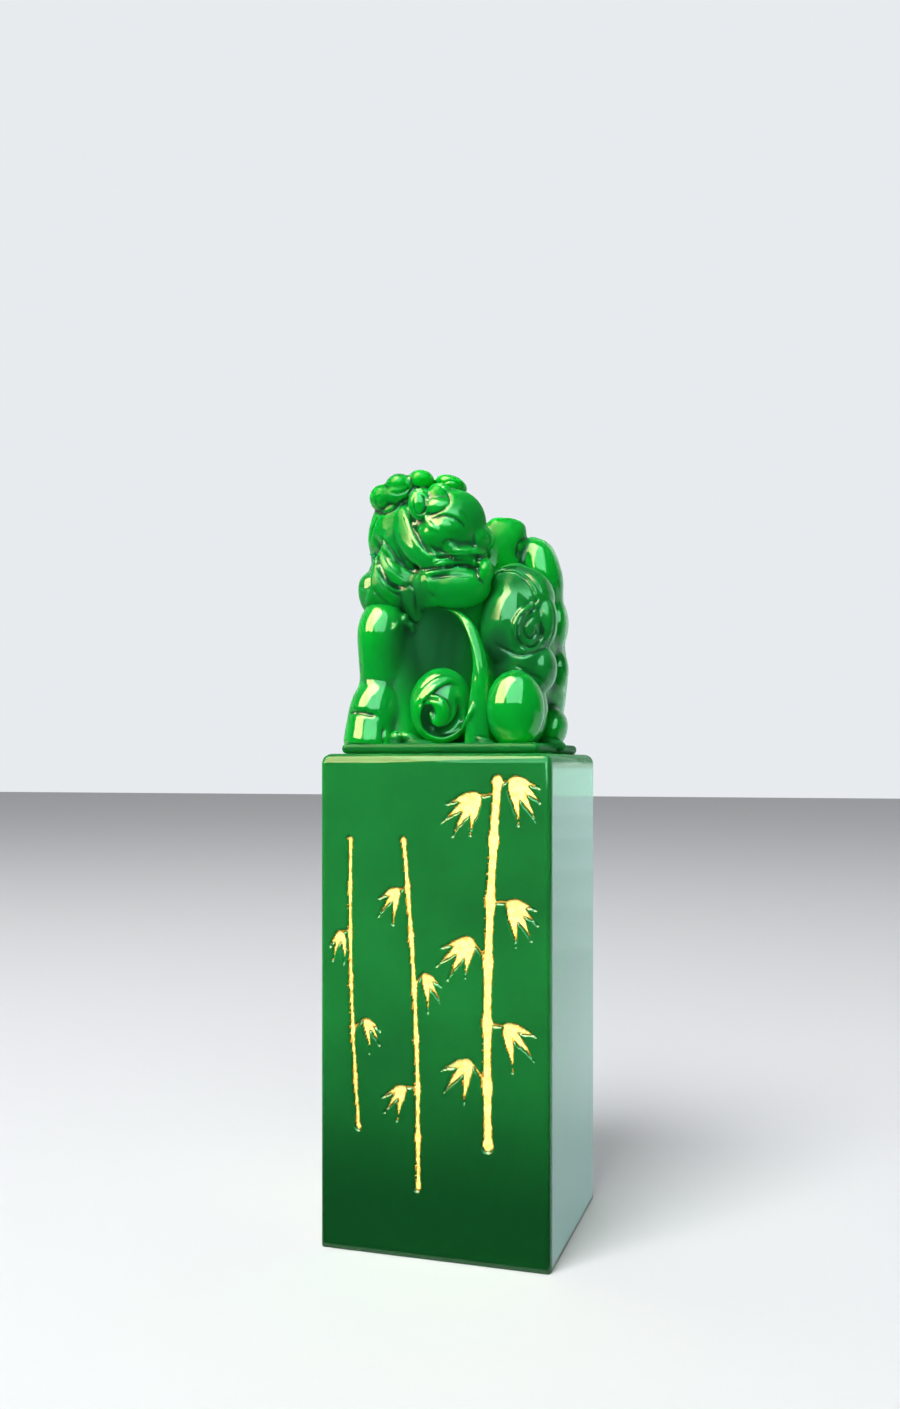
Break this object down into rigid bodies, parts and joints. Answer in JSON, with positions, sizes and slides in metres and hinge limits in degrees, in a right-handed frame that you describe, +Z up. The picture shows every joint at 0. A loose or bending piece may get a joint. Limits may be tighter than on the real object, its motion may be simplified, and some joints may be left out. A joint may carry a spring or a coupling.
{
  "type": "seal stamp",
  "caption": "Square stone seal with a gilded bamboo engraving on its front face, a relief-cut printing face below, and a knob carved as a seated lioness with her cub.",
  "frame": {"origin": "middle of the printing face, at the foot of the column", "axes": "+Z up the column to the knob, -Y out of the gilded front face, +X to the right of a viewer who faces the front"},
  "size_m": [0.025, 0.025, 0.0834],
  "materials": {
    "column_stone": "deep green, polished, slightly translucent",
    "knob_stone": "bright green, highly polished, translucent",
    "gilding": "matt gold paint in cut strokes"
  },
  "bodies": {
    "root": {"seal_column": "column_stone", "knob_plinth": "knob_stone", "near_haunch": "knob_stone", "near_hind_leg": "knob_stone", "far_hind_leg": "knob_stone", "tail_tuft": "knob_stone", "tail_flames": "knob_stone", "lioness_body": "knob_stone", "cub_tail": "knob_stone", "scroll_boss": "knob_stone", "cub_haunch": "knob_stone", "cub_head": "knob_stone", "lioness_head": "knob_stone", "lioness_jaw": "knob_stone", "crown_curls": "knob_stone", "lioness_foreleg": "knob_stone", "cub_body": "knob_stone", "lioness_mane": "knob_stone", "nape_locks": "knob_stone", "gilt_culm": "gilding", "gilt_slim_culm": "gilding", "gilt_shoot": "gilding", "gilt_spray_1": "gilding", "gilt_spray_2": "gilding", "gilt_spray_3": "gilding", "gilt_spray_4": "gilding", "gilt_spray_5": "gilding", "gilt_spray_6": "gilding", "gilt_spray_7": "gilding", "gilt_spray_8": "gilding", "gilt_spray_9": "gilding", "gilt_spray_10": "gilding", "gilt_spray_11": "gilding"}
  },
  "joints": []
}
